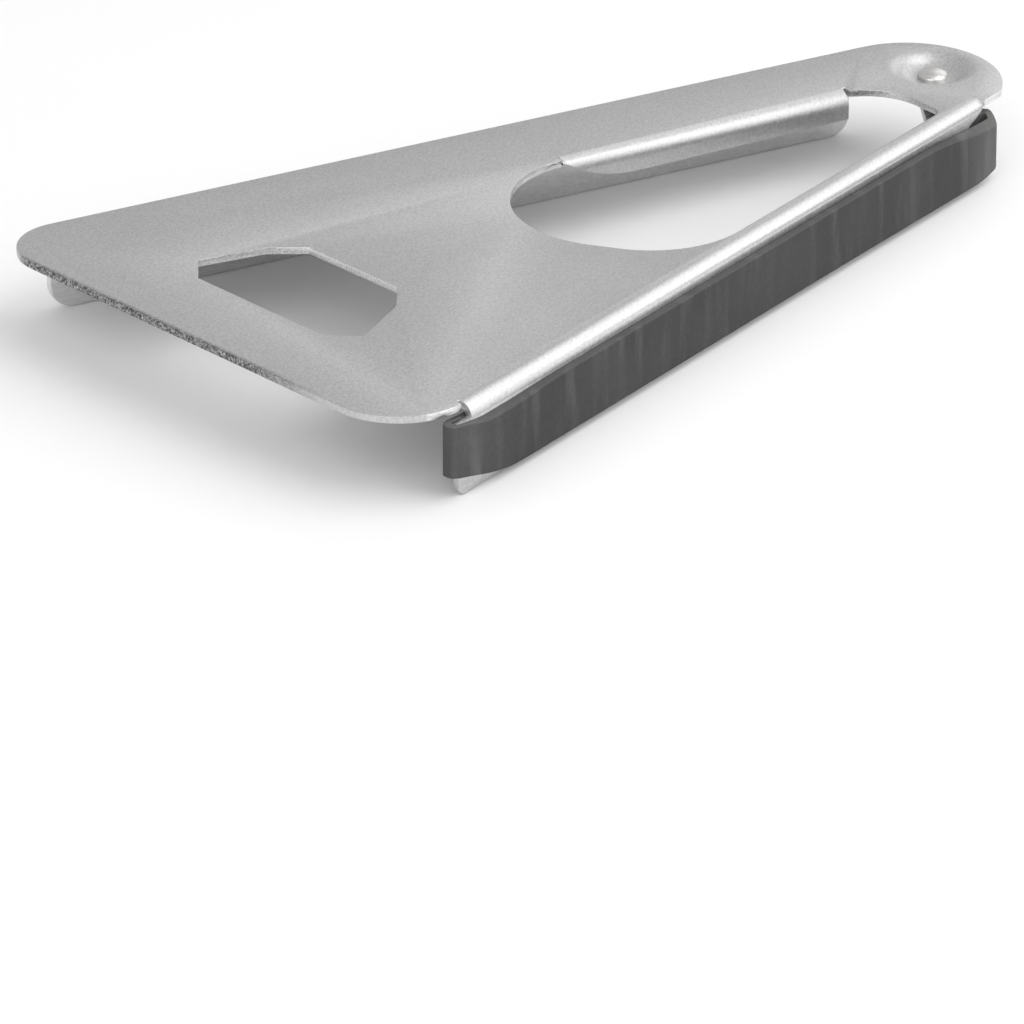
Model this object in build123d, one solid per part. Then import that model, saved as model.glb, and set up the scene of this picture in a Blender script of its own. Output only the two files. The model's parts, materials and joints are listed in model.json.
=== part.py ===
from build123d import *
import math
import os

# A V-shaped jar-lid opener. A level sheet-metal plate tapers from a wide front edge to a round tip.
# Its right edge is folded down into a flange, and a rubber band is stretched round that flange.
# A steel jaw hangs under the left edge and swings outwards about a rivet at the tip.
# All plan sizes are laid out from the centre of the round tip, with X along the middle of the V
# towards the wide end, and heights are measured from the table that the lower edges stand on.

# ---- driving dimensions, in millimetres and degrees ----
overall_depth = 18.0            # table to the plate's top face
half_angle = 12.6               # each jaw's heading from the middle of the V
running_gap = 0.1               # between faces that slide on each other
bore_clearance = 0.05           # radial, rivet shank in the jaw's eye

# top plate
plate_thickness = 1.5
plate_bend_radius = 1.5         # inside radius of every fold in the plate
tip_radius = 19.0
front_edge_distance = 187.1     # tip centre to the front edge, square to it
front_edge_tilt = 4.0           # the front edge's normal from the middle of the V
left_corner_radius = 11.0
right_corner_radius = 15.5
shoulder_offset = 16.0          # plate's cut edge beyond the flange, from the V line through the tip

# grip flange, folded down from the plate's right edge
flange_offset = 17.75           # outer face, from the V line through the tip centre
fold_tip_end = -0.8             # distance along the edge where the fold starts
fold_tip_height = 16.2          # the fold's square end stops at this height,
flange_notch = (6.0, 13.2)      # and a notch runs in to here, between the fold and the flange
notch_radius = 0.6
notch_corner_radius = 0.8
flange_tip_end = -1.6           # where the flange below the notch starts,
flange_tip_height = 11.0        # and the height of its top corner
fold_wide_end = 173.4           # where the fold stops
flange_wide_end = 177.4         # where the flange below the fold stops
flange_corner_radius = 2.2
relief_width = 0.9              # slot at the fold's wide end

# window, with a lip folded down from its left side
window_round_radius = 21.6      # both rounds of its wide end
window_round_along_flange = 81.2    # centre of the round that touches the flange side
window_round_along_lip = 82.0       # centre of the round beside the lip, and how far it stays off the fold
window_round_off_lip = 2.05
window_tip_radius = 13.2        # its narrow end,
window_tip_centre = (19.0, 7.9)
window_tip_corner_radius = 3.0  # and the corner between that end and the flange side
window_flange_margin = 0.95     # flat left between the window and the flange's fold
lip_heading = 10.55             # the lip's fold from the middle of the V, on the left
lip_fold_offset = 3.3           # the fold's line from the tip centre
lip_depth = 5.8                 # below the plate's top face
lip_tip_end = 14.6
lip_wide_end = 82.3
lip_relief = 0.8                # slot at the lip's square end
lip_runout_start = 72.0         # the lower edge bends up here, with a large radius,
lip_runout_radius = 30.0
lip_runout_slope = 0.5          # and climbs at this slope to the wide end

# eight-sided cap hole, even about its own middle, measured inwards from the front edge
cap_hole_across = -15.2         # middle of the hole along the front edge
cap_hole_front = (18.6, 17.5)   # distance in from the front edge, half the width there
cap_hole_front_shoulder = (24.0, 23.4)
cap_hole_back_shoulder = (37.4, 18.3)
cap_hole_back = (43.5, 12.4)

# dimple at the tip and the rivet that sits in it
pivot_setback = 7.95            # pivot from the tip centre, towards the tip
pivot_aside = 1.55              # and towards the jaw
dimple_depth = 2.2
dimple_floor_radius = 3.6
dimple_rim_radius = 9.4
dimple_wall_share = 0.45        # part of the wall that its upper, outward curve takes
rivet_head_radius = 3.2
rivet_head_height = 1.6
rivet_head_edge = 0.45
rivet_shank_radius = 2.0
rivet_tail_radius = 3.4
rivet_tail_height = 1.2
washer_radius = 5.2
washer_thickness = 0.8

# swinging jaw
jaw_thickness = 2.0
jaw_bend_radius = 1.0
jaw_offset = tip_radius         # outer face, flush with the plate's left edge
jaw_tip_end = 4.3
jaw_wide_end = 187.0
jaw_fold_end = 78.0             # the level web stops here and the rail goes on by itself
jaw_fold_relief = 2.5
jaw_tip_corner = 4.0
jaw_wide_corner = 5.2
jaw_top_corner = 1.5
eye_radius = 7.4
web_shoulder_along = 2.0        # the web's edge reaches the rail's line here,
web_shoulder_eye = (-11.0, 9.5) # coming straight from the eye
web_neck_eye = (-0.6, 6.0)      # the other side of the eye
web_neck_out = 9.8              # the web's inner edge beside the tip of the window
web_neck_tip_end = 8.5
web_neck_wide_end = 15.0
web_stop_tip_end = 18.5         # its stop edge lies along the lip between these
web_stop_wide_end = 62.0
web_end_width = 2.0             # web left beside the rail where the web ends
heel_out = 12.2                 # the heel reaches this far towards the flange
heel_tip_end = -3.0
heel_wide_end = 11.2
heel_root_tip = (-12.0, 4.0)    # where it leaves the eye, on its two sides
heel_root_window = (-1.9, 0.7)

# rubber band round the flange
band_thickness = 2.0
band_bottom = 1.3               # height of its lower edge
band_width = 13.4
band_tip_slack = 0.9            # band's inside beyond the flange's ends
band_wide_slack = 0.9
band_top_dip = 1.4              # how far its upper edge dips at the tip end
band_top_dip_run = 28.0
band_top_rise = 1.6             # how far its upper edge climbs at the wide end
band_top_rise_run = 8.8
band_wide_rise = 4.6            # how far its lower edge climbs there
band_wide_rise_run = 15.0
band_tip_rise = 1.2
band_tip_rise_run = 8.0

# ---- sizes that follow ----
plate_top = overall_depth
plate_underside = plate_top - plate_thickness
plate_outer_radius = plate_bend_radius + plate_thickness
flange_fold_start = flange_offset - plate_outer_radius
pivot = Vector(-pivot_setback, -pivot_aside, 0)
floor_top = plate_top - dimple_depth
floor_underside = floor_top - plate_thickness
web_top = floor_underside - running_gap
web_underside = web_top - jaw_thickness
washer_top = web_underside - running_gap
washer_underside = washer_top - washer_thickness
lip_jaw_face = plate_bend_radius - lip_fold_offset
jaw_outer_bend = jaw_bend_radius + jaw_thickness
jaw_fold_start = jaw_offset - jaw_outer_bend
band_inner_tip = flange_tip_end - band_tip_slack
band_inner_wide = flange_wide_end + band_wide_slack
band_tip_end = band_inner_tip - band_thickness
band_wide_end = band_inner_wide + band_thickness
band_top = band_bottom + band_width

# Reference lines in plan: a heading from +X, and the side on which "out" is counted.
RIGHT = (half_angle, 1)
LEFT = (-half_angle, -1)
LIP = (-lip_heading, 1)
FRONT = (front_edge_tilt, 1)


def spot(line, along, out, height=0.0):
    """Point that lies along a reference line and out to its side, at a height."""
    heading, side = math.radians(line[0]), line[1]
    return Vector(
        along * math.cos(heading) - side * out * math.sin(heading),
        along * math.sin(heading) + side * out * math.cos(heading),
        height,
    )


def direction(line):
    """Unit vector along a reference line."""
    return spot(line, 1, 0)


def sideways(line):
    """Unit vector square to a reference line, on its out side."""
    return spot(line, 0, 1)


def front_corner(line, out):
    """Point where the front edge meets a line set off from a reference line."""
    normal = direction(FRONT)
    reach = (front_edge_distance - out * sideways(line).dot(normal)) / direction(line).dot(normal)
    return spot(line, reach, out)


def prism(outline, low, high):
    """Solid of a level closed outline between two heights."""
    return extrude(Pos(0, 0, low) * make_face(outline), high - low)


def side_profile(line, points, radii):
    """Solid of an outline drawn in side view, (along, height), for trimming a folded strip."""
    reach = 60.0
    corners = [spot(line, along, -reach, height) for along, height in points]
    return extrude(make_face(FilletPolyline(*corners, radius=radii, close=True)), 2 * reach, sideways(line))


def folded_strip(line, fold_start, bend_radius, thickness, top, bottom, begin, end):
    """Strip that leaves a level sheet at fold_start and turns straight down."""
    outer = bend_radius + thickness
    face_out = fold_start + outer

    def at(out, height):
        return spot(line, begin, out, height)

    middle = math.sqrt(0.5)
    bend_height = top - outer
    edges = [
        ThreePointArc(
            at(fold_start, top),
            at(fold_start + outer * middle, bend_height + outer * middle),
            at(face_out, bend_height),
        ),
        Line(at(face_out, bend_height), at(face_out, bottom)),
        Line(at(face_out, bottom), at(face_out - thickness, bottom)),
        Line(at(face_out - thickness, bottom), at(face_out - thickness, bend_height)),
        ThreePointArc(
            at(face_out - thickness, bend_height),
            at(fold_start + bend_radius * middle, bend_height + bend_radius * middle),
            at(fold_start, top - thickness),
        ),
        Line(at(fold_start, top - thickness), at(fold_start, top)),
    ]
    return extrude(make_face(edges), end - begin, direction(line))


def plate_strip(line, fold_start, bottom, begin, end):
    """Strip folded down from the top plate."""
    return folded_strip(line, fold_start, plate_bend_radius, plate_thickness, plate_top, bottom, begin, end)


def block(line, begin, end, out_low, out_high, low, high):
    """Straight-sided block set square to a reference line."""
    corners = [
        spot(line, begin, out_low),
        spot(line, end, out_low),
        spot(line, end, out_high),
        spot(line, begin, out_high),
    ]
    return prism(Polyline(*corners, close=True), low, high)


def build_top_plate():
    """The plate: level sheet with its window and cap hole, flange, lip and dimple, all one piece."""
    outline = FilletPolyline(
        Vector(0, 0, 0),
        spot(LEFT, 0, tip_radius),
        front_corner(LEFT, tip_radius),
        front_corner(RIGHT, shoulder_offset),
        spot(RIGHT, 0, shoulder_offset),
        radius=[0, 0, left_corner_radius, right_corner_radius, 0],
        close=True,
    )
    sheet = prism(outline, plate_underside, plate_top)
    sheet += Pos(0, 0, plate_underside) * extrude(Circle(tip_radius), plate_thickness)
    beyond = flange_offset + tip_radius
    slot_end = fold_wide_end + relief_width
    sheet -= block(RIGHT, -tip_radius, fold_tip_end, flange_offset, beyond, plate_underside, plate_top)
    sheet -= block(RIGHT, fold_tip_end, slot_end, flange_fold_start, beyond, plate_underside, plate_top)
    sheet -= extrude(Pos(0, 0, plate_underside) * window_outline(), plate_thickness)
    sheet -= prism(cap_hole_outline(), plate_underside, plate_top)
    sheet -= Pos(pivot.X, pivot.Y, plate_underside) * extrude(Circle(dimple_rim_radius), plate_thickness)
    return sheet + build_dimple() + build_flange() + build_lip()


def window_outline():
    """Plan face of the window, tapering towards the tip between the lip and the flange."""
    side_out = flange_fold_start - window_flange_margin
    fold = -lip_fold_offset
    slot_start = lip_tip_end - lip_relief
    flange_round = spot(RIGHT, window_round_along_flange, side_out - window_round_radius)
    lip_round = spot(LIP, window_round_along_lip, fold + window_round_off_lip + window_round_radius)
    narrow_round = Vector(*window_tip_centre)
    tip_edge = narrow_round.X - window_tip_radius
    tip_corner = spot(RIGHT, (tip_edge - spot(RIGHT, 0, side_out).X) / direction(RIGHT).X, side_out)
    square_out = Vector(flange_round.Y - lip_round.Y, lip_round.X - flange_round.X).normalized()
    beyond = square_out * window_round_radius
    middle = [
        spot(LIP, slot_start, fold),
        spot(LIP, lip_wide_end, fold),
        lip_round,
        lip_round + beyond,
        flange_round + beyond,
        flange_round,
        spot(RIGHT, window_round_along_flange, side_out),
        tip_corner,
        Vector(tip_edge, narrow_round.Y),
        narrow_round,
        spot(LIP, slot_start, plate_thickness),
    ]
    corners = [window_tip_corner_radius if point is tip_corner else 0 for point in middle]
    window = make_face(FilletPolyline(*middle, radius=corners, close=True))
    window += Pos(*lip_round) * Circle(window_round_radius)
    window += Pos(*flange_round) * Circle(window_round_radius)
    window += Pos(*narrow_round) * Circle(window_tip_radius)
    limits = Polyline(
        spot(LIP, 0, fold),
        spot(LIP, front_edge_distance, fold),
        spot(RIGHT, front_edge_distance, side_out),
        tip_corner,
        close=True,
    )
    return window & make_face(limits)


def cap_hole_outline():
    """Eight-sided outline, even about its own middle, square to the front edge."""
    steps = [cap_hole_front, cap_hole_front_shoulder, cap_hole_back_shoulder, cap_hole_back]
    right_side = []
    left_side = []
    for inward, half_width in steps:
        along = front_edge_distance - inward
        right_side.append(spot(FRONT, along, cap_hole_across + half_width))
        left_side.append(spot(FRONT, along, cap_hole_across - half_width))
    return Polyline(*right_side, *reversed(left_side), close=True)


def level_arc(start, end, sense=1):
    """Arc in the XZ plane that leaves its start level, outwards (sense 1) or inwards (sense -1)."""
    return TangentArc(Vector(start[0], 0, start[1]), Vector(end[0], 0, end[1]), tangent=Vector(sense, 0, 0))


def section_line(start, end):
    """Straight edge in the XZ plane, from and to (radius, height)."""
    return Line(Vector(start[0], 0, start[1]), Vector(end[0], 0, end[1]))


def turned(edges):
    """Solid turned about the rivet's axis from section edges in the XZ plane."""
    return Pos(*pivot) * revolve(make_face(edges), Axis.Z)


def build_dimple():
    """Round dish pressed into the tip, with a flat floor that the rivet's head sits on."""
    wall_run = dimple_rim_radius - dimple_floor_radius
    edges = []
    for surface in (plate_top, plate_underside):
        turn = (dimple_rim_radius - dimple_wall_share * wall_run, surface - dimple_wall_share * dimple_depth)
        edges.append(level_arc((dimple_floor_radius, surface - dimple_depth), turn))
        edges.append(level_arc((dimple_rim_radius, surface), turn, -1))
    edges.append(section_line((rivet_shank_radius, floor_top), (dimple_floor_radius, floor_top)))
    edges.append(section_line((rivet_shank_radius, floor_underside), (dimple_floor_radius, floor_underside)))
    edges.append(section_line((rivet_shank_radius, floor_underside), (rivet_shank_radius, floor_top)))
    edges.append(section_line((dimple_rim_radius, plate_underside), (dimple_rim_radius, plate_top)))
    return turned(edges)


def build_flange():
    """The right edge folded down, notched at the tip, with its lower corners rounded."""
    strip = plate_strip(RIGHT, flange_fold_start, 0, flange_tip_end, flange_wide_end)
    shoulder = plate_top - plate_outer_radius
    outline = [
        (fold_tip_end, plate_top),
        (fold_tip_end, fold_tip_height),
        flange_notch,
        (flange_tip_end, flange_tip_height),
        (flange_tip_end, 0),
        (flange_wide_end, 0),
        (flange_wide_end, shoulder),
        (fold_wide_end, shoulder),
        (fold_wide_end, plate_top),
    ]
    corners = [0, 0, notch_radius, notch_corner_radius, flange_corner_radius, flange_corner_radius, 0, 0, 0]
    return strip & side_profile(RIGHT, outline, corners)


def build_lip():
    """Stop lip along the window's left side, square at the tip end and shallower towards the wide end."""
    lower_edge = plate_top - lip_depth
    strip = plate_strip(LIP, -lip_fold_offset, lower_edge, lip_tip_end, lip_wide_end)
    outline = [
        (lip_tip_end, plate_top),
        (lip_tip_end, lower_edge),
        (lip_runout_start, lower_edge),
        (lip_wide_end, lower_edge + (lip_wide_end - lip_runout_start) * lip_runout_slope),
        (lip_wide_end, plate_top),
    ]
    return strip & side_profile(LIP, outline, [0, 0, lip_runout_radius, 0, 0])


def build_jaw_arm():
    """Swinging jaw: rivet eye with its heel, level web that stops against the lip, and rail turned down."""
    stop_edge = lip_jaw_face - running_gap
    outline = FilletPolyline(
        spot(LEFT, web_shoulder_along, jaw_fold_start),
        spot(LEFT, jaw_fold_end, jaw_fold_start),
        spot(LEFT, jaw_fold_end, jaw_fold_start - web_end_width),
        spot(LIP, web_stop_wide_end, stop_edge),
        spot(LIP, web_stop_tip_end, stop_edge),
        spot(LEFT, web_neck_wide_end, web_neck_out),
        spot(LEFT, web_neck_tip_end, web_neck_out),
        spot(LEFT, *web_neck_eye),
        spot(LEFT, *web_shoulder_eye),
        radius=[6, 0, 0, 8, 3, 3, 4, 0, 0],
        close=True,
    )
    heel = Polyline(
        spot(RIGHT, heel_tip_end, heel_out),
        spot(RIGHT, heel_wide_end, heel_out),
        Vector(*heel_root_window),
        pivot,
        Vector(*heel_root_tip),
        close=True,
    )
    web = prism(outline, web_underside, web_top) + prism(heel, web_underside, web_top)
    web += Pos(pivot.X, pivot.Y, web_underside) * extrude(Circle(eye_radius), jaw_thickness)
    rail = folded_strip(
        LEFT, jaw_fold_start, jaw_bend_radius, jaw_thickness, web_top, 0, jaw_tip_end, jaw_fold_end
    )
    rail += block(LEFT, jaw_fold_end, jaw_wide_end, jaw_offset - jaw_thickness, jaw_offset, 0, web_top)
    rail -= block(
        LEFT,
        jaw_fold_end,
        jaw_fold_end + jaw_fold_relief,
        jaw_fold_start,
        jaw_offset,
        web_top - jaw_outer_bend,
        web_top,
    )
    ends = [(jaw_tip_end, web_top), (jaw_tip_end, 0), (jaw_wide_end, 0), (jaw_wide_end, web_top)]
    rail &= side_profile(LEFT, ends, [0, jaw_tip_corner, jaw_wide_corner, jaw_top_corner])
    eye_bore = Circle(rivet_shank_radius + bore_clearance)
    return web + rail - Pos(pivot.X, pivot.Y, web_underside) * extrude(eye_bore, jaw_thickness)


def build_grip_band():
    """Rubber loop stretched round the flange, its edges curling in at both ends."""
    middle = (band_inner_tip + band_inner_wide) / 2
    length = band_inner_wide - band_inner_tip
    place = Pos(*spot(RIGHT, middle, flange_offset - plate_thickness / 2)) * Rot(0, 0, half_angle)
    outside = place * SlotOverall(length + 2 * band_thickness, plate_thickness + 2 * band_thickness)
    inside = place * SlotOverall(length, plate_thickness)
    loop = extrude(Pos(0, 0, band_bottom) * (outside - inside), band_width + band_top_rise)
    return loop & band_side_view()


def band_side_view():
    """The band's outline seen from the side, as a solid for trimming the loop."""
    reach = 2 * flange_offset

    def at(along, height):
        return spot(RIGHT, along, -reach, height)

    towards_wide = direction(RIGHT)
    low_tip = at(band_tip_end + band_tip_rise_run, band_bottom)
    low_wide = at(band_wide_end - band_wide_rise_run, band_bottom)
    top_tip = at(band_tip_end + band_top_dip_run, band_top)
    top_wide = at(band_wide_end - band_top_rise_run, band_top)
    end_low_tip = at(band_tip_end, band_bottom + band_tip_rise)
    end_low_wide = at(band_wide_end, band_bottom + band_wide_rise)
    end_top_tip = at(band_tip_end, band_top - band_top_dip)
    end_top_wide = at(band_wide_end, band_top + band_top_rise)
    edges = [
        Line(low_tip, low_wide),
        TangentArc(low_wide, end_low_wide, tangent=towards_wide),
        Line(end_low_wide, end_top_wide),
        TangentArc(top_wide, end_top_wide, tangent=towards_wide),
        Line(top_tip, top_wide),
        TangentArc(top_tip, end_top_tip, tangent=-towards_wide),
        Line(end_top_tip, end_low_tip),
        TangentArc(low_tip, end_low_tip, tangent=-towards_wide),
    ]
    return extrude(make_face(edges), 3 * reach, sideways(RIGHT))


def build_pivot_rivet():
    """Rivet with a low domed head in the dimple and a tail spread under the washer."""
    head_edge = floor_top + rivet_head_edge
    crown = floor_top + rivet_head_height
    tail_end = washer_underside - rivet_tail_height
    tail_edge = washer_underside - rivet_tail_height / 3
    return turned(
        [
            level_arc((0, crown), (rivet_head_radius, head_edge)),
            section_line((rivet_head_radius, head_edge), (rivet_head_radius, floor_top)),
            section_line((rivet_head_radius, floor_top), (rivet_shank_radius, floor_top)),
            section_line((rivet_shank_radius, floor_top), (rivet_shank_radius, washer_underside)),
            section_line((rivet_shank_radius, washer_underside), (rivet_tail_radius, washer_underside)),
            section_line((rivet_tail_radius, washer_underside), (rivet_tail_radius, tail_edge)),
            level_arc((0, tail_end), (rivet_tail_radius, tail_edge)),
            section_line((0, tail_end), (0, crown)),
        ]
    )


def build_tail_washer():
    """Washer between the jaw's eye and the rivet's tail."""
    ring = Circle(washer_radius) - Circle(rivet_shank_radius + bore_clearance)
    return Pos(pivot.X, pivot.Y, washer_underside) * extrude(ring, washer_thickness)


nodes = {
    "top_plate": build_top_plate(),
    "jaw_arm": build_jaw_arm(),
    "grip_band": build_grip_band(),
    "pivot_rivet": build_pivot_rivet(),
    "tail_washer": build_tail_washer(),
}

# The object's frame has its origin in the middle of the plan box, at the height of the lower edges.
whole = Compound(children=[Compound(node.solids()) for node in nodes.values()]).bounding_box()
home = Pos(-(whole.min.X + whole.max.X) / 2, -(whole.min.Y + whole.max.Y) / 2, -whole.min.Z)

os.makedirs("parts", exist_ok=True)
for name, node in nodes.items():
    export_step(home * node, f"parts/{name}.step")
print("box", whole.size)
print("moved by", home.position)
print("pivot", home.position + pivot)
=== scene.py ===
"""Looks of a V-shaped jar-lid opener: folded steel plate, swinging jaw, rubber band and rivet.

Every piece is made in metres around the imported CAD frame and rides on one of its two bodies.
"""

import json
import logging
import math
from collections.abc import Callable
from dataclasses import dataclass
from enum import Enum
from typing import Protocol

import bmesh
import bpy
from mathutils import Matrix, Vector


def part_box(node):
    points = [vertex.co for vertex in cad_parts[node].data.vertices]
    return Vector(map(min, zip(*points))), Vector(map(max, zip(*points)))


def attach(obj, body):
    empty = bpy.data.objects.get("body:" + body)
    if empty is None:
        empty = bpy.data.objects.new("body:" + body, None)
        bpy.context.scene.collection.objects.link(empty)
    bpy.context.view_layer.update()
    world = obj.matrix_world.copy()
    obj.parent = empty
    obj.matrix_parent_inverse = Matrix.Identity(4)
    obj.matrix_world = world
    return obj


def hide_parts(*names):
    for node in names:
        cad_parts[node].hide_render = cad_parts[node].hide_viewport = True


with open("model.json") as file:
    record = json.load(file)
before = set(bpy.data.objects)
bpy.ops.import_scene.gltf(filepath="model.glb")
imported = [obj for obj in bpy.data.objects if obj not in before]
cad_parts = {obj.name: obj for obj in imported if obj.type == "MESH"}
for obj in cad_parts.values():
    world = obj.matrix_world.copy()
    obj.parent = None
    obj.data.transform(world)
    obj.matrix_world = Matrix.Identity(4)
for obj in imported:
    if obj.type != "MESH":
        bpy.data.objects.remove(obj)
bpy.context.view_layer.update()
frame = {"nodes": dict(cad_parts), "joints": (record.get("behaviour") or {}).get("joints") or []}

LOG = logging.getLogger("lid_opener")
MM = 0.001
Socket = bpy.types.NodeSocket

# Points of a copied CAD mesh nearer than this are one point.
WELD = 0.002 * MM
# Faces that turn by less than this, in degrees, are one flat face.
FLAT_ANGLE = 0.6
# Edges that turn by less than this, in degrees, are shaded smooth.
SHADE_ANGLE = 32


class Grain(Enum):
    """How a metal's surface was left."""

    MATT = "matt"
    DRAWN = "drawn"


@dataclass(frozen=True)
class Layout:
    """Plan of the tool, hung on the rivet's place in the frame.

    Attributes:
        half_angle: Heading of each arm from the middle of the V, in degrees.
        pivot_setback: Rivet from the round tip's centre, towards the tip.
        pivot_aside: Rivet from the round tip's centre, towards the jaw.
    """

    half_angle: float = 12.6
    pivot_setback: float = 7.95 * MM
    pivot_aside: float = 1.55 * MM

    def tip_centre(self) -> Vector:
        """Return the centre of the round tip in the frame."""
        x, y, _ = frame["joints"][0]["pos_m"]
        return Vector((x + self.pivot_setback, y + self.pivot_aside, 0.0))

    def flange_arm(self) -> Matrix:
        """Give the place of the flange arm's own axes.

        Returns:
            A matrix from (along the arm, out to its left, height) to the frame.
        """
        turn = math.radians(self.half_angle)
        return Matrix.Translation(self.tip_centre()) @ Matrix.Rotation(turn, 4, "Z")


LAYOUT = Layout()


# ---------------------------------------------------------------- helpers for modelling


def only(piece: bpy.types.Object) -> None:
    """Select one object alone and make it active.

    Args:
        piece: The object.
    """
    bpy.ops.object.select_all(action="DESELECT")
    piece.select_set(True)
    bpy.context.view_layer.objects.active = piece


def named(name: str) -> bpy.types.Object:
    """Name the active object and its mesh.

    Args:
        name: The new name.

    Returns:
        The active object.
    """
    piece = bpy.context.active_object
    piece.name = name
    piece.data.name = name
    return piece


def pick(piece: bpy.types.Object, kind: str, test: Callable[..., bool]) -> None:
    """Select vertices, edges or faces of a piece by place, in edit mode.

    Args:
        piece: The mesh object being edited.
        kind: "VERT", "EDGE" or "FACE".
        test: Takes an element and says whether it is selected.
    """
    bpy.ops.mesh.select_mode(type=kind)
    bpy.ops.mesh.select_all(action="DESELECT")
    bm = bmesh.from_edit_mesh(piece.data)
    parts = {"VERT": bm.verts, "EDGE": bm.edges, "FACE": bm.faces}[kind]
    for part in [part for part in parts if test(part)]:
        part.select = True
    bm.select_flush_mode()
    bmesh.update_edit_mesh(piece.data)


def apply_all(piece: bpy.types.Object) -> None:
    """Apply every modifier of a piece, first to last.

    Args:
        piece: The mesh object.
    """
    only(piece)
    for modifier in list(piece.modifiers):
        bpy.ops.object.modifier_apply(modifier=modifier.name)


def soften(piece: bpy.types.Object, width: float, segments: int, angle: float = 35.0) -> None:
    """Round a piece's sharp edges and smooth its shading.

    Args:
        piece: The mesh object.
        width: Width of the rounding.
        segments: Steps across the rounding.
        angle: Edges sharper than this, in degrees, are rounded.
    """
    bevel = piece.modifiers.new("edges", "BEVEL")
    bevel.width = width
    bevel.segments = segments
    bevel.limit_method = "ANGLE"
    bevel.angle_limit = math.radians(angle)
    bevel.use_clamp_overlap = False
    bevel.harden_normals = False
    apply_all(piece)
    bpy.ops.object.shade_smooth_by_angle(angle=math.radians(SHADE_ANGLE))


def seat(piece: bpy.types.Object, place: Matrix) -> None:
    """Move a piece's mesh to its place, leaving its object at the origin.

    Args:
        piece: The mesh object.
        place: From the mesh's own axes to the frame.
    """
    piece.data.transform(place @ piece.matrix_world)
    piece.matrix_world = Matrix.Identity(4)
    piece.data.update()


def cad_copy(node: str, name: str) -> bpy.types.Object:
    """Copy a CAD node as one joined mesh with its flat faces in one piece.

    Args:
        node: Name of the CAD node.
        name: Name of the new piece.

    Returns:
        The new object, with no parent and no material.
    """
    source = frame["nodes"][node]
    piece = bpy.data.objects.new(name, source.data.copy())
    piece.data.name = name
    piece.data.materials.clear()
    bpy.context.scene.collection.objects.link(piece)
    only(piece)
    bpy.ops.object.mode_set(mode="EDIT")
    bpy.ops.mesh.select_all(action="SELECT")
    bpy.ops.mesh.remove_doubles(threshold=WELD)
    bpy.ops.mesh.customdata_custom_splitnormals_clear()
    bpy.ops.mesh.dissolve_limited(angle_limit=math.radians(FLAT_ANGLE))
    bpy.ops.object.mode_set(mode="OBJECT")
    return piece


class Finish(Protocol):
    """Anything that can build a material."""

    def material(self) -> bpy.types.Material:
        """Build the material."""


def dress(piece: bpy.types.Object, body: str, node: str, slot: str, *finishes: Finish) -> None:
    """Give a piece its finishes and its body, and hide the CAD node that it stands for.

    Args:
        piece: The mesh object.
        body: The body that it rides on.
        node: The CAD node that it replaces.
        slot: Its slot. Not used.
        *finishes: Its finishes, in the order of its material indices.
    """
    for finish in finishes:
        piece.data.materials.append(finish.material())
    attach(piece, body)
    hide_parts(node)
    LOG.info("%s rides on %s with %d faces", piece.name, body, len(piece.data.polygons))


# ---------------------------------------------------------------- finishes


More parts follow.
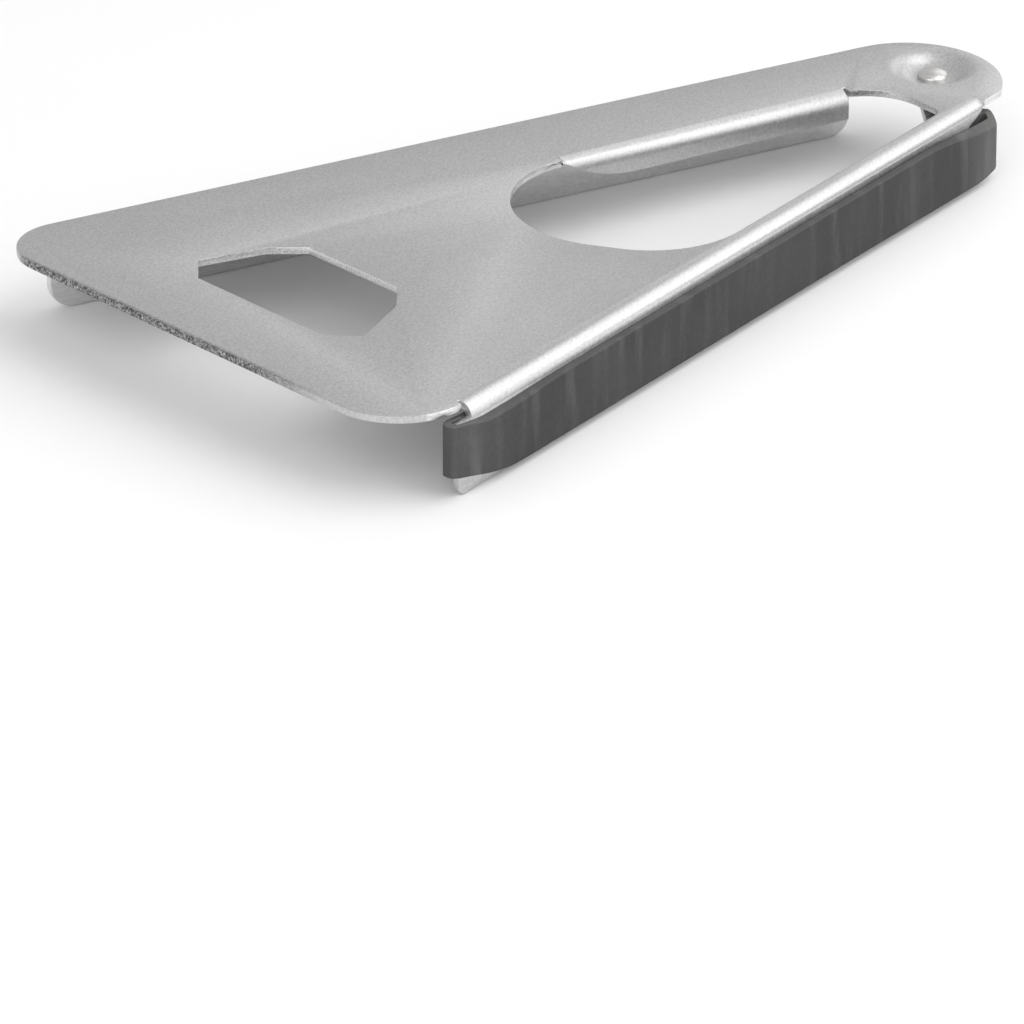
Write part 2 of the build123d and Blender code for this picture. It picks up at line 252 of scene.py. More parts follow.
class Bench:
    """A material's node tree, with short ways to add and link nodes."""

    def __init__(self, name: str) -> None:
        """Start a material whose tree holds a shader and Object coordinates.

        Args:
            name: The material's name.
        """
        self.result = bpy.data.materials.new(name)
        self.result.use_nodes = True
        self.nodes = self.result.node_tree.nodes
        self.links = self.result.node_tree.links
        self.shader = self.nodes["Principled BSDF"]
        self.place = self.nodes.new("ShaderNodeTexCoord").outputs["Object"]

    def mapped(self, scale: tuple, turn: float = 0.0, shift: tuple = (0, 0, 0)) -> Socket:
        """Turn and stretch the Object coordinates.

        Args:
            scale: Factor on each axis, after the turn.
            turn: Turn about Z, in degrees.
            shift: Move after the turn and scale.

        Returns:
            The mapped coordinates.
        """
        turned = self.nodes.new("ShaderNodeMapping")
        turned.inputs["Rotation"].default_value = (0, 0, math.radians(turn))
        self.links.new(self.place, turned.inputs["Vector"])
        scaled = self.nodes.new("ShaderNodeMapping")
        scaled.inputs["Scale"].default_value = scale
        scaled.inputs["Location"].default_value = shift
        self.links.new(turned.outputs["Vector"], scaled.inputs["Vector"])
        return scaled.outputs["Vector"]

    def noise(self, vector: Socket, scale: float, detail: float = 3.0) -> Socket:
        """Add a noise pattern.

        Args:
            vector: Coordinates to read it at.
            scale: Features per metre.
            detail: Octaves of finer noise.

        Returns:
            The pattern's value.
        """
        node = self.nodes.new("ShaderNodeTexNoise")
        node.inputs["Scale"].default_value = scale
        node.inputs["Detail"].default_value = detail
        self.links.new(vector, node.inputs["Vector"])
        return node.outputs["Fac"]

    def ramp(self, value: Socket, low: float, high: float, start: float, end: float) -> Socket:
        """Map a value between two limits to another range, held at its ends.

        Args:
            value: The value.
            low: The value that gives start.
            high: The value that gives end.
            start: First end of the new range.
            end: Second end of the new range.

        Returns:
            The mapped value.
        """
        node = self.nodes.new("ShaderNodeMapRange")
        for key, number in (("From Min", low), ("From Max", high), ("To Min", start), ("To Max", end)):
            node.inputs[key].default_value = number
        self.links.new(value, node.inputs["Value"])
        return node.outputs["Result"]

    def math(self, operation: str, first: Socket | float, second: Socket | float) -> Socket:
        """Join two values, or a value and a number, with one operation.

        Args:
            operation: Name of the operation.
            first: Its first value or number.
            second: Its second value or number.

        Returns:
            The joined value.
        """
        node = self.nodes.new("ShaderNodeMath")
        node.operation = operation
        for socket, item in zip(node.inputs, (first, second)):
            if isinstance(item, (int, float)):
                socket.default_value = item
            else:
                self.links.new(item, socket)
        return node.outputs["Value"]

    def blend(self, factor: Socket, first: tuple, second: tuple) -> Socket:
        """Mix two colours by a factor.

        Args:
            factor: 0 for the first colour, 1 for the second.
            first: Red, green and blue.
            second: Red, green and blue.

        Returns:
            The mixed colour.
        """
        node = self.nodes.new("ShaderNodeMix")
        node.data_type = "RGBA"
        node.inputs["A"].default_value = (*first, 1)
        node.inputs["B"].default_value = (*second, 1)
        self.links.new(factor, node.inputs["Factor"])
        return node.outputs["Result"]

    def axis(self, vector: Socket, name: str) -> Socket:
        """Take one coordinate out of a vector.

        Args:
            vector: The vector.
            name: "X", "Y" or "Z".

        Returns:
            The coordinate.
        """
        node = self.nodes.new("ShaderNodeSeparateXYZ")
        self.links.new(vector, node.inputs["Vector"])
        return node.outputs[name]

    def bump(self, height: Socket, depth: float) -> None:
        """Press a height pattern into the shader's normal, after any that is there.

        Args:
            height: The pattern.
            depth: Height of the pattern from 0 to 1.
        """
        node = self.nodes.new("ShaderNodeBump")
        node.inputs["Distance"].default_value = depth
        node.inputs["Strength"].default_value = 1.0
        self.links.new(height, node.inputs["Height"])
        normal = self.shader.inputs["Normal"]
        if normal.is_linked:
            self.links.new(normal.links[0].from_socket, node.inputs["Normal"])
        self.links.new(node.outputs["Normal"], normal)


@dataclass(frozen=True)
class SteelFinish:
    """Bare or plated steel.

    Attributes:
        name: The material's name.
        light: Colour on the bright spots of its mottling.
        dark: Colour on the dull spots.
        roughness: Lowest and highest roughness.
        grain: How the surface was left.
        grain_size: Grains per metre.
        grain_depth: Height of the grain.
        drawn_stretch: Scale of drawn grain on each axis, along the strokes first.
        cloud_size: Cloudy patches per metre.
        shares: Parts of the tone that come from the grain and from the clouds.
        tone_limits: Tones that give the dark and the light colour.
        rough_limits: Grain values that give the lowest and the highest roughness.
    """

    name: str
    light: tuple
    dark: tuple
    roughness: tuple
    grain: Grain = Grain.MATT
    grain_size: float = 2600.0
    grain_depth: float = 0.02 * MM
    drawn_stretch: tuple = (0.06, 1, 1)
    cloud_size: float = 45.0
    shares: tuple = (0.85, 0.15)
    tone_limits: tuple = (0.36, 0.64)
    rough_limits: tuple = (0.35, 0.65)

    def material(self) -> bpy.types.Material:
        """Build the finish: mottled tone, fine grain, and faint handling marks."""
        return self.laid().result

    def laid(self) -> Bench:
        """Lay out the finish's nodes.

        Returns:
            The bench that holds them.
        """
        bench = Bench(self.name)
        bench.shader.inputs["Metallic"].default_value = 1.0
        stretch = (1, 1, 1) if self.grain is Grain.MATT else self.drawn_stretch
        fine = bench.noise(bench.mapped(stretch, -LAYOUT.half_angle), self.grain_size, 2.0)
        cloud = bench.noise(bench.mapped((1, 1, 1)), self.cloud_size, 4.0)
        grain = bench.math("MULTIPLY", fine, self.shares[0])
        clouds = bench.math("MULTIPLY", cloud, self.shares[1])
        tone = bench.ramp(bench.math("ADD", grain, clouds), *self.tone_limits, 0, 1)
        colour = bench.blend(tone, self.dark, self.light)
        bench.links.new(colour, bench.shader.inputs["Base Color"])
        rough = bench.ramp(fine, *self.rough_limits, *self.roughness)
        bench.links.new(rough, bench.shader.inputs["Roughness"])
        bench.bump(fine, self.grain_depth)
        return bench


@dataclass(frozen=True)
class PlateFinish(SteelFinish):
    """The plate's plated surface, with the plating chipped in specks along the front edge.

    Attributes:
        front_tilt: The front edge's normal from the middle of the V, in degrees.
        front_reach: The front edge from the round tip's centre, square to it.
        chipped: Width of the chipped strip.
        chipped_side: Out along the front edge, where the chips end and where they are all there.
        speck_dark: Colour of the specks.
        speck_size: Specks per metre.
        speck_range: Noise values that give the faintest and the full speck, then those strengths.
    """

    front_tilt: float = 4.0
    front_reach: float = 187.1 * MM
    chipped: float = 1.2 * MM
    chipped_side: tuple = (22 * MM, 4 * MM)
    speck_dark: tuple = (0.09, 0.09, 0.09)
    speck_size: float = 2200.0
    speck_range: tuple = (0.3, 0.62, 0.15, 1)

    def material(self) -> bpy.types.Material:
        """Build the finish and lay the dark specks over it.

        Returns:
            The material.
        """
        bench = self.laid()
        colour = bench.shader.inputs["Base Color"]
        plain = colour.links[0].from_socket
        home = Matrix.Rotation(math.radians(-self.front_tilt), 4, "Z") @ LAYOUT.tip_centre()
        level = bench.mapped((1, 1, 1), -self.front_tilt, (-home.x, -home.y, 0))
        along = bench.axis(level, "X")
        near = bench.ramp(along, self.front_reach - self.chipped, self.front_reach, 0, 1)
        beside = bench.ramp(bench.axis(level, "Y"), *self.chipped_side, 0, 1)
        near = bench.math("MULTIPLY", near, beside)
        specks = bench.ramp(bench.noise(level, self.speck_size, 2.0), *self.speck_range)
        mix = bench.nodes.new("ShaderNodeMix")
        mix.data_type = "RGBA"
        bench.links.new(bench.math("MULTIPLY", near, specks), mix.inputs["Factor"])
        bench.links.new(plain, mix.inputs["A"])
        mix.inputs["B"].default_value = (*self.speck_dark, 1)
        bench.links.new(mix.outputs["Result"], colour)
        return bench.result


@dataclass(frozen=True)
class RubberFinish:
    """Dusty dark rubber, paler where it is stretched round its ends, and paler on its upward faces
    with dust and painted light.

    Attributes:
        name: The material's name.
        body: Colour of the clean rubber.
        dust_and_painted_light: Colour of dust, stretched rubber and the painted light on upward faces.
        roughness: Lowest and highest roughness.
        streak_size: Upright streaks per metre.
        smudge_size: Smudges per metre.
        speck_size: Specks of the skin per metre.
        streak_squash: Scale of the streaks on each axis.
        tip_pale: Along the arm, where the pale tip end starts and is full, then its strengths.
        wide_pale: The same for the wide end.
        streak_dust: Streak values without and with full dust, then their strengths.
        smudge_dust: Smudge values with the least and the most dust, then their strengths.
        upward_dust_and_painted_light: Upward slopes of the normal without and with dust and painted
            light, then their strengths.
        mottle: Speck values at both ends of the mottling, then their strengths.
        rough_limits: Smudge values that give the lowest and the highest roughness.
        gloss: Strength of its highlight.
        skin_depth: Height of the specks.
        dent_depth: Height of the smudges.
    """

    name: str = "dusty_rubber"
    body: tuple = (0.04, 0.04, 0.041)
    dust_and_painted_light: tuple = (0.13, 0.13, 0.128)
    roughness: tuple = (0.62, 0.8)
    streak_size: float = 260.0
    smudge_size: float = 60.0
    speck_size: float = 1500.0
    streak_squash: tuple = (1, 1, 0.12)
    tip_pale: tuple = (12 * MM, -4 * MM, 0, 0.75)
    wide_pale: tuple = (160 * MM, 182 * MM, 0, 0.3)
    streak_dust: tuple = (0.5, 0.72, 0, 1)
    smudge_dust: tuple = (0.35, 0.65, 0.1, 0.5)
    upward_dust_and_painted_light: tuple = (0.3, 0.9, 0, 0.4)
    mottle: tuple = (0.3, 0.7, -0.04, 0.07)
    rough_limits: tuple = (0.35, 0.65)
    gloss: float = 0.35
    skin_depth: float = 0.03 * MM
    dent_depth: float = 0.25 * MM

    def material(self) -> bpy.types.Material:
        """Build the finish: upright streaks, dust, pale ends, painted light on upward faces and a fine
        skin.

        Returns:
            The material.
        """
        bench = Bench(self.name)
        tip = LAYOUT.tip_centre()
        turn = -LAYOUT.half_angle
        home = Matrix.Rotation(math.radians(turn), 4, "Z") @ tip
        level = bench.mapped((1, 1, 1), turn, (-home.x, -home.y, 0))
        along = bench.axis(level, "X")
        streaks = bench.noise(bench.mapped(self.streak_squash, turn), self.streak_size, 5.0)
        smudge = bench.noise(level, self.smudge_size, 3.0)
        specks = bench.noise(level, self.speck_size, 2.0)
        tip_end = bench.ramp(along, *self.tip_pale)
        wide_end = bench.ramp(along, *self.wide_pale)
        pale = bench.math("ADD", tip_end, wide_end)
        streaky = bench.ramp(streaks, *self.streak_dust)
        dust = bench.math("MULTIPLY", streaky, bench.ramp(smudge, *self.smudge_dust))
        # Upward faces are paler: partly dust, partly painted light on the rubber's top rim.
        upward = bench.axis(bench.nodes.new("ShaderNodeNewGeometry").outputs["Normal"], "Z")
        pale = bench.math("ADD", pale, bench.ramp(upward, *self.upward_dust_and_painted_light))
        mottle = bench.ramp(specks, *self.mottle)
        amount = bench.math("ADD", bench.math("ADD", pale, dust), mottle)
        colour = bench.blend(bench.ramp(amount, 0, 1, 0, 1), self.body, self.dust_and_painted_light)
        bench.links.new(colour, bench.shader.inputs["Base Color"])
        rough = bench.ramp(smudge, *self.rough_limits, *self.roughness)
        bench.links.new(rough, bench.shader.inputs["Roughness"])
        bench.shader.inputs["Specular IOR Level"].default_value = self.gloss
        bench.bump(specks, self.skin_depth)
        bench.bump(smudge, self.dent_depth)
        return bench.result


@dataclass(frozen=True)
class FloorFinish:
    """Smooth pale paper under the tool.

    Attributes:
        name: The material's name.
        light: Colour of its bright patches.
        dark: Colour of its dull patches.
        patches: Patches per metre.
        roughness: Its roughness.
        gloss: Strength of its highlight.
    """

    name: str = "pale_paper"
    light: tuple = (0.93, 0.93, 0.93)
    dark: tuple = (0.9, 0.9, 0.9)
    patches: float = 6.0
    roughness: float = 0.9
    gloss: float = 0.1

    def material(self) -> bpy.types.Material:
        """Build the finish: an even pale tone with barely any mottling.

        Returns:
            The material.
        """
        bench = Bench(self.name)
        cloud = bench.noise(bench.mapped((1, 1, 1)), self.patches)
        colour = bench.blend(cloud, self.dark, self.light)
        bench.links.new(colour, bench.shader.inputs["Base Color"])
        bench.shader.inputs["Roughness"].default_value = self.roughness
        bench.shader.inputs["Specular IOR Level"].default_value = self.gloss
        return bench.result


PLATE_STEEL = PlateFinish(
    name="matt_plate_steel",
    light=(0.64, 0.64, 0.64),
    dark=(0.52, 0.52, 0.52),
    roughness=(0.44, 0.5),
    grain_size=1900.0,
    grain_depth=0.01 * MM,
)
# Bare cut steel with its colour raised: partly the bare metal of the cuts, partly a painted highlight
# on the cut walls.
CUT_STEEL_AND_HIGHLIGHT = SteelFinish(
    name="cut_steel_and_painted_highlight",
    light=(0.88, 0.88, 0.88),
    dark=(0.6, 0.6, 0.6),
    roughness=(0.3, 0.45),
    grain=Grain.DRAWN,
)
# The jaw's steel is painted lighter than its own tone: painted light that lifts the shadow on its
# rail.
JAW_STEEL_PAINTED_LIGHT = SteelFinish(
    name="satin_jaw_steel_painted_light",
    light=(0.8, 0.8, 0.8),
    dark=(0.7, 0.7, 0.7),
    roughness=(0.38, 0.5),
    grain=Grain.DRAWN,
    grain_size=1800.0,
)
RIVET_STEEL = SteelFinish(
    name="soft_rivet_steel",
    light=(0.72, 0.71, 0.69),
    dark=(0.62, 0.61, 0.6),
    roughness=(0.3, 0.38),
    grain_size=1500.0,
    grain_depth=0.006 * MM,
)


# ---------------------------------------------------------------- the plate


@dataclass
class FoldedPlate:
    """Top plate with its cap hole, window, lip, flange and dimple.

    Attributes:
        thickness: Of the sheet.
        edge: Rounding of the cut edges.
        edge_steps: Steps across the rounding.
        slack: Walls may start this far below the sheet's underside.
        wall_tilt: A face this near upright, by the Z of its normal, counts as a cut wall.
        front_facing: X of a wall's normal above which it faces the wide end.
        hole_reach: Half the width of the region that holds the cap hole.
        hole_front: X at which that region ends, short of the front edge.
    """

    thickness: float = 1.5 * MM
    edge: float = 0.14 * MM
    edge_steps: int = 2
    slack: float = 0.05 * MM
    wall_tilt: float = 0.2
    front_facing: float = 0.3
    hole_reach: float = 45 * MM
    hole_front: float = 88 * MM

    def build(self) -> bpy.types.Object:
        """Make the plate's piece and dress it.

        Returns:
            The finished piece.
        """
        piece = cad_copy("top_plate", "opener_plate")
        dress(piece, "plate", "top_plate", "plate_steel", PLATE_STEEL, CUT_STEEL_AND_HIGHLIGHT)
        self.mark_cut_walls(piece)
        soften(piece, self.edge, self.edge_steps)
        return piece

    def mark_cut_walls(self, piece: bpy.types.Object) -> None:
        """Give the sheet's cut walls, but not the front edge, the finish of bare cut steel, whose
        colour is partly a painted highlight.

        Args:
            piece: The plate's piece.
        """
        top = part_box("top_plate")[1].z
        for face in piece.data.polygons:
            heights = [piece.data.vertices[index].co.z for index in face.vertices]
            in_sheet = min(heights) > top - self.thickness - self.slack
            upright = abs(face.normal.z) < self.wall_tilt
            at_front = face.normal.x > self.front_facing and face.center.x > 0
            in_hole = abs(face.center.y) < self.hole_reach and face.center.x < self.hole_front
            if in_sheet and upright and (in_hole or not at_front):
                face.material_index = 1


# ---------------------------------------------------------------- the jaw


@dataclass
class SwingJaw:
    """Jaw that swings about the rivet: eye, web and rail in one sheet.

    Attributes:
        edge: Rounding of its edges.
        edge_steps: Steps across the rounding.
    """

    edge: float = 0.22 * MM
    edge_steps: int = 3

    def build(self) -> bpy.types.Object:
        """Make the jaw's piece and dress it.

        Returns:
            The finished piece.
        """
        piece = cad_copy("jaw_arm", "swing_jaw")
        dress(piece, "jaw", "jaw_arm", "jaw_steel", JAW_STEEL_PAINTED_LIGHT)
        soften(piece, self.edge, self.edge_steps)
        return piece


# ---------------------------------------------------------------- the rubber band


def smooth(value: float) -> float:
    """Ease from 0 to 1 with level ends."""
    held = min(max(value, 0.0), 1.0)
    return held * held * (3 - 2 * held)


@dataclass(frozen=True)
class Ease:
    """Change from 0 to 1 with level ends.

    Attributes:
        start: Where it leaves 0.
        span: Length of the change. Below 0, the change runs backwards.
        power: Above 1, the change starts more slowly.
    """

    start: float
    span: float
    power: float = 1.0

    def at(self, place: float) -> float:
        """Return how far the change has come at a place."""
        return smooth((place - self.start) / self.span) ** self.power


@dataclass
class GripBand:
    """Rubber loop stretched round the flange, open at top and bottom.

    Attributes:
        tip_end: Outermost point at the tip end, along the arm.
        wide_end: Outermost point at the wide end.
        middle_out: Middle of the flange's thickness, out from the arm's line.
        core: Radius of the loop's inside at its ends.
        wall: Thickness of the rubber.
        bottom: Height of the lower edge.
        width: Height of the loop.
        around: Corners of the cylinder that it starts as.
        stations: Cuts along its straight runs.
        rows: Cuts up its height.
        lip_round: Rounding of its four rims.
        lip_steps: Steps across that rounding.
        lip_angle: Edges sharper than this, in degrees, are rounded.
        wall_start: Part of the core beyond which a point is in one of the long walls.
        facing: From the loop's inner side to its outer side.
        skin: From the inner face of the outer wall to its outer face.
        dip_tip: The upper rim's dip at the tip end.
        dip_sag: Its sag before the wide end.
        dip_climb: Its climb at the wide end.
        outer_dips: Depths of those three on the loop's outer side.
        inner_dips: Depths of the first and the last on its inner side.
        lift_tip: Rise of the lower edge at the tip end.
        lift_wide: Rise of the lower edge at the wide end.
        lifts: Heights of those two.
        thin_outer: Thinning of the outer wall at the wide end.
        thin_inner: Thinning of the inner wall there.
        thinning: Part of the wall that goes in both.
        bulge: Thickening of the outer wall towards the tip.
        bulge_part: Part of the wall that it adds at the lower edge.
        bulge_taper: Part of the thickening that is lost at the upper rim.
        dent_place: Along the arm and up, the small dent under the rim at the wide end.
        dent_reach: Half its length and half its height.
        dent_depth: Its depth.
        dent_fade: Its strength at the middle, before it is held, and its loss over one reach.
    """

    tip_end: float = -4.5 * MM
    wide_end: float = 180.3 * MM
    middle_out: float = 17.0 * MM
    core: float = 0.75 * MM
    wall: float = 2.0 * MM
    bottom: float = 1.3 * MM
    width: float = 13.4 * MM
    around: int = 40
    stations: int = 90
    rows: int = 12
    lip_round: float = 0.3 * MM
    lip_steps: int = 3
    lip_angle: float = 50
    wall_start: float = 0.9
    facing: Ease = Ease(-0.6 * MM, 3.2 * MM)
    skin: Ease = Ease(1.6 * MM, MM)
    dip_tip: Ease = Ease(22 * MM, -24 * MM)
    dip_sag: Ease = Ease(144 * MM, 20 * MM)
    dip_climb: Ease = Ease(169 * MM, 12 * MM)
    outer_dips: tuple = (2.5 * MM, 0.8 * MM, 1.9 * MM)
    inner_dips: tuple = (0.3 * MM, 1.2 * MM)
    lift_tip: Ease = Ease(6 * MM, -10 * MM, 2)
    lift_wide: Ease = Ease(158 * MM, 26 * MM, 1.3)
    lifts: tuple = (1.3 * MM, 4.0 * MM)
    thin_outer: Ease = Ease(166 * MM, 14 * MM, 1.5)
    thin_inner: Ease = Ease(168 * MM, 10 * MM)
    thinning: float = 0.38
    bulge: Ease = Ease(60 * MM, -60 * MM)
    bulge_part: float = 0.16
    bulge_taper: float = 0.7
    dent_place: tuple = (176.5 * MM, 13.2 * MM)
    dent_reach: tuple = (3.2 * MM, 1.5 * MM)
    dent_depth: float = 0.55 * MM
    dent_fade: tuple = (1.2, 0.6)

    def build(self) -> bpy.types.Object:
        """Make the band from a stretched open cylinder, shape it and dress it.

        Returns:
            The finished piece.
        """
        piece = self.stretched_loop()
        self.shape(piece)
        seat(piece, LAYOUT.flange_arm() @ Matrix.Translation((0, self.middle_out, 0)))
        dress(piece, "plate", "grip_band", "rubber", RubberFinish())
        soften(piece, self.lip_round, self.lip_steps, self.lip_angle)
        return piece

    def stretched_loop(self) -> bpy.types.Object:
        """Pull an open cylinder out along the arm and give its wall a thickness.

        Returns:
            The loop, still on the arm's own axes.
        """
        outer = self.core + self.wall
        bpy.ops.object.select_all(action="DESELECT")
        bpy.ops.mesh.primitive_cylinder_add(
            vertices=self.around,
            radius=outer,
            depth=self.width,
            end_fill_type="NOTHING",
            location=(self.tip_end + outer, 0, self.bottom + self.width / 2),
            rotation=(0, 0, math.pi / self.around),
        )
        piece = named("rubber_grip")
        bpy.ops.object.transform_apply(location=True, rotation=True, scale=True)
        centre = self.tip_end + outer
        bpy.ops.object.mode_set(mode="EDIT")
        pick(piece, "VERT", lambda vert: vert.co.x > centre)
        bpy.ops.transform.translate(value=(self.wide_end - self.tip_end - 2 * outer, 0, 0))
        pick(piece, "EDGE", lambda edge: edge.calc_length() > 3 * self.width)
        bpy.ops.mesh.subdivide_edgering(number_cuts=self.stations, interpolation="LINEAR")
        tall = self.width / 2
        pick(piece, "EDGE", lambda edge: abs(edge.verts[0].co.z - edge.verts[1].co.z) > tall)
        bpy.ops.mesh.subdivide_edgering(number_cuts=self.rows, interpolation="LINEAR")
        bpy.ops.object.mode_set(mode="OBJECT")
        wall = piece.modifiers.new("wall", "SOLIDIFY")
        wall.thickness = self.wall
        wall.offset = -1
        wall.use_even_offset = True
        apply_all(piece)
        return piece

    def shape(self, piece: bpy.types.Object) -> None:
        """Dip the rims, lift the lower edge and thin the rubber over the flange's wide corner.

        Args:
            piece: The loop, still on the arm's own axes.
        """
        wall_start = self.core * self.wall_start
        for vert in piece.data.vertices:
            along, out, height = vert.co
            share = (height - self.bottom) / self.width
            dip = self.rim_dip(along, self.facing.at(out))
            lift = self.edge_lift(along)
            vert.co.z = self.bottom + lift + share * (self.width - dip - lift)
            if out > wall_start:
                vert.co.y = self.core + (out - self.core) * self.outer_wall(along, share)
                vert.co.y -= self.dent(along, vert.co.z) * self.skin.at(out)
            elif out < -wall_start:
                thin = 1 - self.thinning * self.thin_inner.at(along)
                vert.co.y = -self.core + (out + self.core) * thin
        piece.data.update()

    def dent(self, along: float, height: float) -> float:
        """Give the depth of the small dent in the outer wall.

        Args:
            along: Place along the arm.
            height: Height of the place.

        Returns:
            The depth there.
        """
        (middle, level), (length, rise) = self.dent_place, self.dent_reach
        away = math.hypot((along - middle) / length, (height - level) / rise)
        full, loss = self.dent_fade
        return self.dent_depth * smooth(full - loss * away)

    def rim_dip(self, along: float, facing: float) -> float:
        """Give the depth of the upper rim's dip.

        Args:
            along: Place along the arm.
            facing: 0 on the loop's inner side, 1 on its outer side.

        Returns:
            The depth there.
        """
        tip, climb = self.dip_tip.at(along), self.dip_climb.at(along)
        at_tip, at_sag, at_climb = self.outer_dips
        outer = at_tip * tip + at_sag * self.dip_sag.at(along) - at_climb * climb
        inner = self.inner_dips[0] * tip - self.inner_dips[1] * climb
        return inner + (outer - inner) * facing

    def edge_lift(self, along: float) -> float:
        """Return the rise of the lower edge at a place along the arm."""
        return self.lifts[0] * self.lift_tip.at(along) + self.lifts[1] * self.lift_wide.at(along)

    def outer_wall(self, along: float, share: float) -> float:
        """Give the thickness of the outer wall.

        Args:
            along: Place along the arm.
            share: Height as a part of the loop's height.

        Returns:
            A part of the wall's full thickness.
        """
        thinned = self.thinning * self.thin_outer.at(along)
        bulged = self.bulge_part * self.bulge.at(along) * (1 - self.bulge_taper * share)
        return 1.0 - thinned + bulged


# ---------------------------------------------------------------- the rivet


@dataclass
class TipRivet:
    """Rivet with a low dome in the dimple and a spread tail under its washer.

    Attributes:
        sides: Corners of the cylinder that it starts as.
        head: Radius of the head.
        head_edge: Height of the head's upright rim.
        head_height: Height of the head's crown.
        tail: Radius of the tail.
        tail_height: Height of the tail's crown. Its upright rim is a third of this.
        shank: Radius of the shank.
        dome_rings: Steps of the dome.
        end_facing: An end face's normal is this near upright, by its Z.
        level: Heights nearer than this are one height.
        shade_angle: Edges that turn by less than this, in degrees, are shaded smooth.
    """

    sides: int = 64
    head: float = 3.2 * MM
    head_edge: float = 0.4 * MM
    head_height: float = 1.6 * MM
    tail: float = 3.4 * MM
    tail_height: float = 1.2 * MM
    shank: float = 2.0 * MM
    dome_rings: int = 9
    end_facing: float = 0.9
    level: float = 1e-6
    shade_angle: float = 40

    def build(self) -> bpy.types.Object:
        """Make the rivet from its shank outwards and dress it.

        Returns:
            The finished piece.
        """
        low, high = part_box("pivot_rivet")
        x, y = (low.x + high.x) / 2, (low.y + high.y) / 2
        floor_top = high.z - self.head_height
        under = low.z + self.tail_height
        tail_edge = self.tail_height / 3
        bpy.ops.object.select_all(action="DESELECT")
        bpy.ops.mesh.primitive_cylinder_add(
            vertices=self.sides,
            radius=self.shank,
            depth=floor_top - under,
            location=(x, y, (floor_top + under) / 2),
        )
        piece = named("tip_rivet")
        bpy.ops.object.transform_apply(location=True, rotation=True, scale=True)
        bpy.ops.object.mode_set(mode="EDIT")
        self.grow(piece, (x, y), floor_top, 1, self.head, self.head_edge, self.head_height)
        self.grow(piece, (x, y), under, -1, self.tail, tail_edge, self.tail_height)
        bpy.ops.mesh.select_all(action="SELECT")
        bpy.ops.mesh.normals_make_consistent(inside=False)
        bpy.ops.object.mode_set(mode="OBJECT")
        dress(piece, "plate", "pivot_rivet", "rivet_steel", RIVET_STEEL)
        bpy.ops.object.shade_smooth_by_angle(angle=math.radians(self.shade_angle))
        return piece

    def grow(
        self,
        piece: bpy.types.Object,
        middle: tuple,
        base: float,
        way: int,
        radius: float,
        edge: float,
        height: float,
    ) -> None:
        """Grow a domed end out of one end face of the shank.

        Args:
            piece: The rivet, in edit mode.
            middle: Its axis in plan.
            base: Height of the end face.
            way: 1 upwards, -1 downwards.
            radius: Radius of the domed end.
            edge: Height of its upright rim.
            height: Height of its crown.
        """

        def at_end(face: bmesh.types.BMFace) -> bool:
            """Say whether a face is the end face to grow from."""
            near = abs(face.calc_center_median().z - base) < self.level
            return near and face.normal.z * way > self.end_facing

        pick(piece, "FACE", at_end)
        centre = (middle[0], middle[1], base)
        bpy.ops.mesh.extrude_region()
        reach = radius / self.shank
        bpy.ops.transform.resize(value=(reach, reach, 1), center_override=centre)
        bpy.ops.mesh.extrude_region_move(TRANSFORM_OT_translate={"value": (0, 0, way * edge)})
        before, reached = 1.0, edge
        for ring in range(1, self.dome_rings + 1):
            angle = math.radians(90 * ring / (self.dome_rings + 0.5))
            across, up = math.cos(angle), edge + (height - edge) * math.sin(angle)
            rise = (0, 0, way * (up - reached))
            bpy.ops.mesh.extrude_region_move(TRANSFORM_OT_translate={"value": rise})
            ratio = across / before
            bpy.ops.transform.resize(value=(ratio, ratio, 1), center_override=centre)
            before, reached = across, up


@dataclass
class TailWasher:
    """Flat washer with rounded rims under the jaw's eye.

    Attributes:
        edge: Rounding of its rims.
        edge_steps: Steps across the rounding.
    """

    edge: float = 0.12 * MM
    edge_steps: int = 2

    def build(self) -> bpy.types.Object:
        """Make the washer's piece and dress it.

        Returns:
            The finished piece.
        """
        piece = cad_copy("tail_washer", "rivet_washer")
        dress(piece, "plate", "tail_washer", "rivet_steel", RIVET_STEEL)
        soften(piece, self.edge, self.edge_steps)
        return piece


# ---------------------------------------------------------------- studio


@dataclass(frozen=True)
class Lamp:
    """Square soft light that faces the tool.

    Attributes:
        name: Its name.
        place: Where it hangs.
        size: Side of its panel.
        power: Its power in watts.
    """

    name: str
    place: tuple
    size: float
    power: float

    def hang(self) -> None:
        """Put the lamp into the scene."""
        data = bpy.data.lights.new(self.name, "AREA")
        data.size, data.energy = self.size, self.power
        lamp = bpy.data.objects.new(self.name, data)
        lamp.location = self.place
        lamp.rotation_euler = (-Vector(self.place)).to_track_quat("-Z", "Y").to_euler()
        bpy.context.scene.collection.objects.link(lamp)


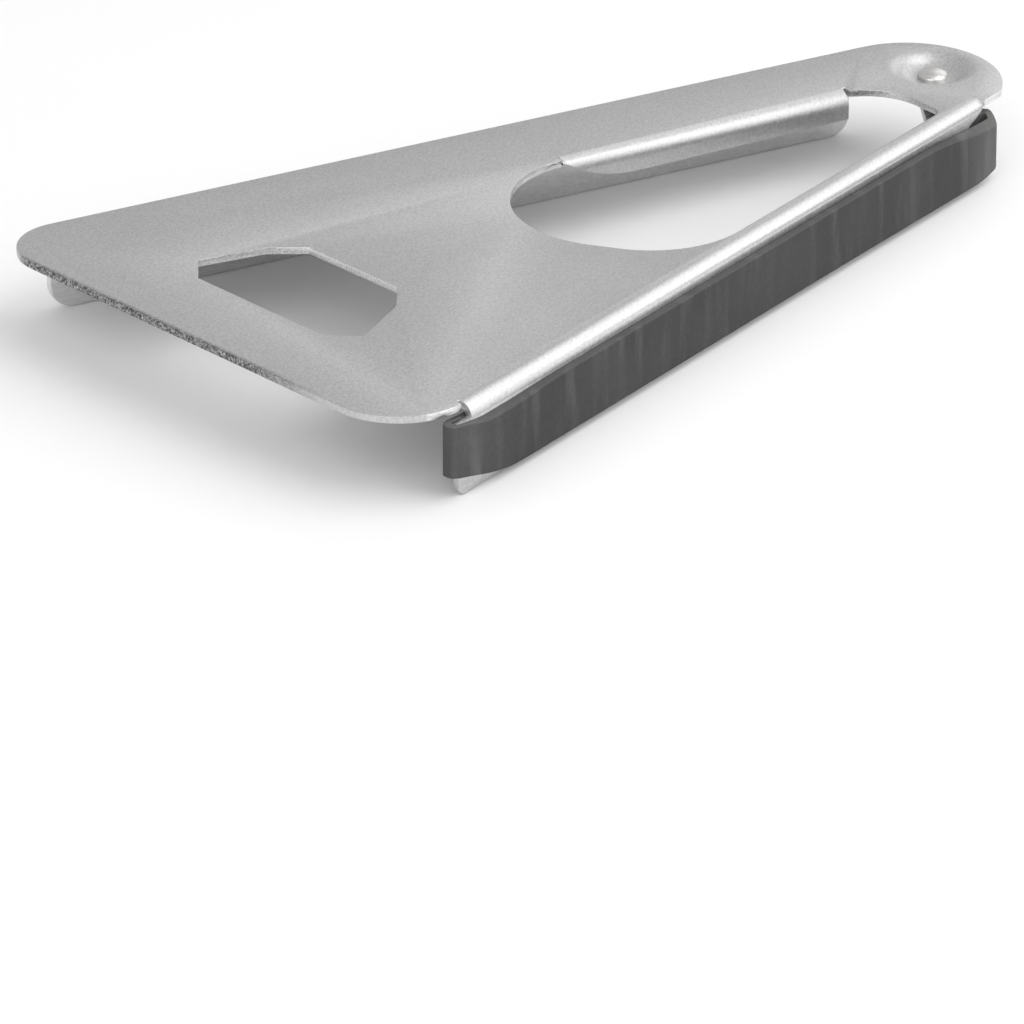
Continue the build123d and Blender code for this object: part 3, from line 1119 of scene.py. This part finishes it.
@dataclass
class Studio:
    """Pale floor, soft light and the camera.

    Attributes:
        eye: Place of the camera.
        right: The camera's own right.
        up: The camera's own up.
        lens: Focal length in millimetres.
        sensor: Width of the sensor in millimetres.
        clip: Nearest and furthest that the camera sees.
        lamps: The lamps.
        surroundings: Strength of the even light from all round.
        floor_size: Side of the floor.
        floor_level: Height of the floor, just clear of the tool.
    """

    eye: tuple = (0.8896, 1.0053, 0.6434)
    right: tuple = (-0.75809, 0.65214, 0.00404)
    up: tuple = (-0.29783, -0.35171, 0.88747)
    lens: float = 261.5
    sensor: float = 36.0
    clip: tuple = (0.05, 20.0)
    lamps: tuple = (
        Lamp("key", (-0.55, 0.7, 1.1), 1.5, 11.0),
        Lamp("back", (-1.3, -0.5, 0.7), 0.9, 2.0),
        Lamp("fill", (0.9, 0.5, 0.7), 1.0, 4.0),
        Lamp("front", (-0.5, 1.3, 0.3), 1.0, 4.0),
    )
    surroundings: float = 0.64
    floor_size: float = 12
    floor_level: float = -0.0002

    def build(self) -> None:
        """Set up camera, floor, lights and surroundings."""
        self.camera()
        self.floor()
        for lamp in self.lamps:
            lamp.hang()
        world = bpy.data.worlds.new("studio")
        world.use_nodes = True
        sky = world.node_tree.nodes["Background"]
        sky.inputs["Color"].default_value = (1, 1, 1, 1)
        sky.inputs["Strength"].default_value = self.surroundings
        bpy.context.scene.world = world
        bpy.context.scene.view_settings.view_transform = "Standard"

    def camera(self) -> None:
        """Place the camera by its own axes."""
        data = bpy.data.cameras.new("camera")
        data.lens = self.lens
        data.sensor_width = self.sensor
        data.clip_start, data.clip_end = self.clip
        camera = bpy.data.objects.new("camera", data)
        right, up = Vector(self.right).normalized(), Vector(self.up).normalized()
        back = right.cross(up).normalized()
        up = back.cross(right)
        axes = Matrix((right, up, back)).transposed().to_4x4()
        camera.matrix_world = Matrix.Translation(Vector(self.eye)) @ axes
        bpy.context.scene.collection.objects.link(camera)
        bpy.context.scene.camera = camera

    def floor(self) -> None:
        """Lay a pale floor under the tool."""
        bpy.ops.object.select_all(action="DESELECT")
        bpy.ops.mesh.primitive_plane_add(size=self.floor_size, location=(0, 0, self.floor_level))
        floor = named("floor")
        bpy.ops.object.transform_apply(location=True, rotation=True, scale=True)
        floor.data.materials.append(FloorFinish().material())


def main() -> None:
    logging.basicConfig(level=logging.INFO, format="%(name)s: %(message)s")
    Studio().build()
    for assembly in (FoldedPlate(), SwingJaw(), GripBand(), TipRivet(), TailWasher()):
        piece = assembly.build()
        LOG.info("made %s", piece.name)


if __name__ == "__main__":
    main()
